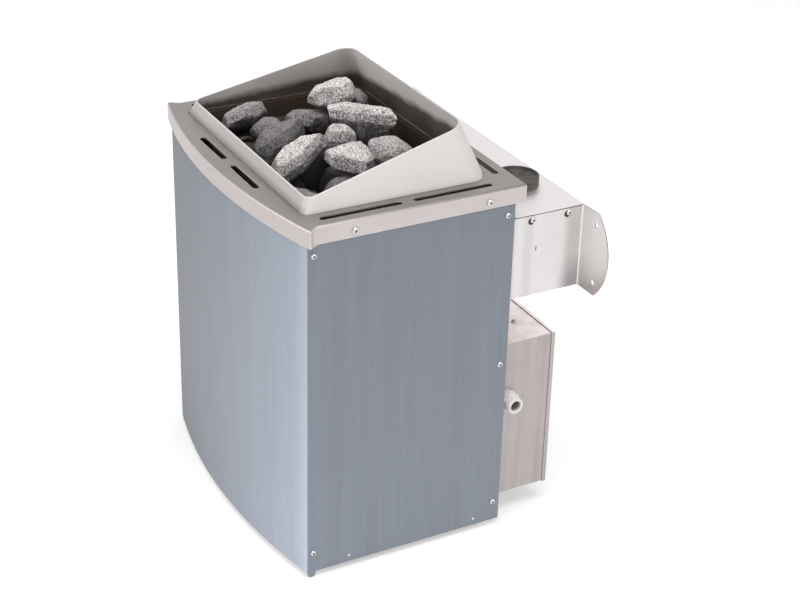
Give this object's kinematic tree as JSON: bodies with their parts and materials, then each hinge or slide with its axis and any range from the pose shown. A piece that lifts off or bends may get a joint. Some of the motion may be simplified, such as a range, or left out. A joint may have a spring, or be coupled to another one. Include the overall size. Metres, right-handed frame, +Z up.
{
  "type": "sauna heater stove",
  "caption": "Wall-hung electric sauna heater: bowed casing, slotted top frame, sloping stone collar filled with stones, steam water tank in its wall bracket, and a terminal box.",
  "frame": {"origin": "centre of the bounding box at its foot, on the surface that the feet stand on", "axes": "+X to the right seen from the front, -Y towards the bowed front, +Y towards the wall, +Z up"},
  "size_m": [0.554, 0.4289, 0.5772],
  "materials": {
    "casing_coat": "satin",
    "frame_steel": "brushed",
    "collar_steel": "brushed, heat-tinted inside",
    "bracket_steel": "satin",
    "zinc_sheet": "plain",
    "chamber_steel": "scorched",
    "element_steel": "oxidised",
    "tank_steel": "plain",
    "box_steel": "plain",
    "screw_steel": "bright",
    "peridotite": "rough",
    "cap_plastic": "matt",
    "gland_plastic": "satin",
    "seal_rubber": "matt",
    "terminal_ceramic": "glazed",
    "terminal_brass": "plain",
    "sensor_copper": "copper, plain",
    "wire_silicone": "braided silicone",
    "button_plastic": "gloss"
  },
  "bodies": {
    "heater": {"outer_casing": "casing_coat", "base_plate": "zinc_sheet", "rear_panel": "zinc_sheet", "front_posts": "zinc_sheet", "heat_shield": "zinc_sheet", "stone_chamber": "chamber_steel", "stone_grate": "chamber_steel", "heating_element_left": "element_steel", "heating_element_middle": "element_steel", "heating_element_right": "element_steel", "element_nuts": "terminal_brass", "element_insulators": "terminal_ceramic", "element_wires": "wire_silicone", "top_frame": "frame_steel", "stone_collar": "collar_steel", "sauna_stones": "peridotite", "bracket_left": "bracket_steel", "bracket_right": "bracket_steel", "bracket_cover": "bracket_steel", "bracket_floor": "bracket_steel", "water_tank": "tank_steel", "tank_heater": "element_steel", "tank_wires": "wire_silicone", "wire_conduit": "zinc_sheet", "steam_duct": "tank_steel", "filler_neck": "cap_plastic", "terminal_box": "box_steel", "terminal_cover": "box_steel", "terminal_block": "terminal_ceramic", "terminal_screws": "terminal_brass", "earth_stud": "terminal_brass", "thermal_cutout": "terminal_ceramic", "cutout_sensor": "sensor_copper", "gland_body": "gland_plastic", "gland_nut": "gland_plastic", "gland_seal": "seal_rubber", "gland_locknut": "gland_plastic", "skirt_screws": "screw_steel", "casing_screws": "screw_steel", "casing_rivets": "screw_steel", "bracket_screws": "screw_steel", "box_screws": "screw_steel"},
    "cap_carrier": {"cap_gasket": "seal_rubber"},
    "cap": {"filler_cap": "cap_plastic"},
    "button": {"reset_button": "button_plastic"}
  },
  "joints": [
    {"name": "cap_lift", "type": "slide", "parent": "heater", "child": "cap_carrier", "axis": [0, 0, 1], "range_m": [0, 0.08]},
    {"name": "cap_turn", "type": "hinge", "parent": "cap_carrier", "child": "cap", "pos_m": [0.122, 0.168, 0.46], "axis": [0, 0, 1], "continuous": true},
    {"name": "reset_press", "type": "slide", "parent": "heater", "child": "button", "axis": [0, -1, 0], "range_m": [0, 0.002], "stiffness_N_per_m": 200}
  ]
}
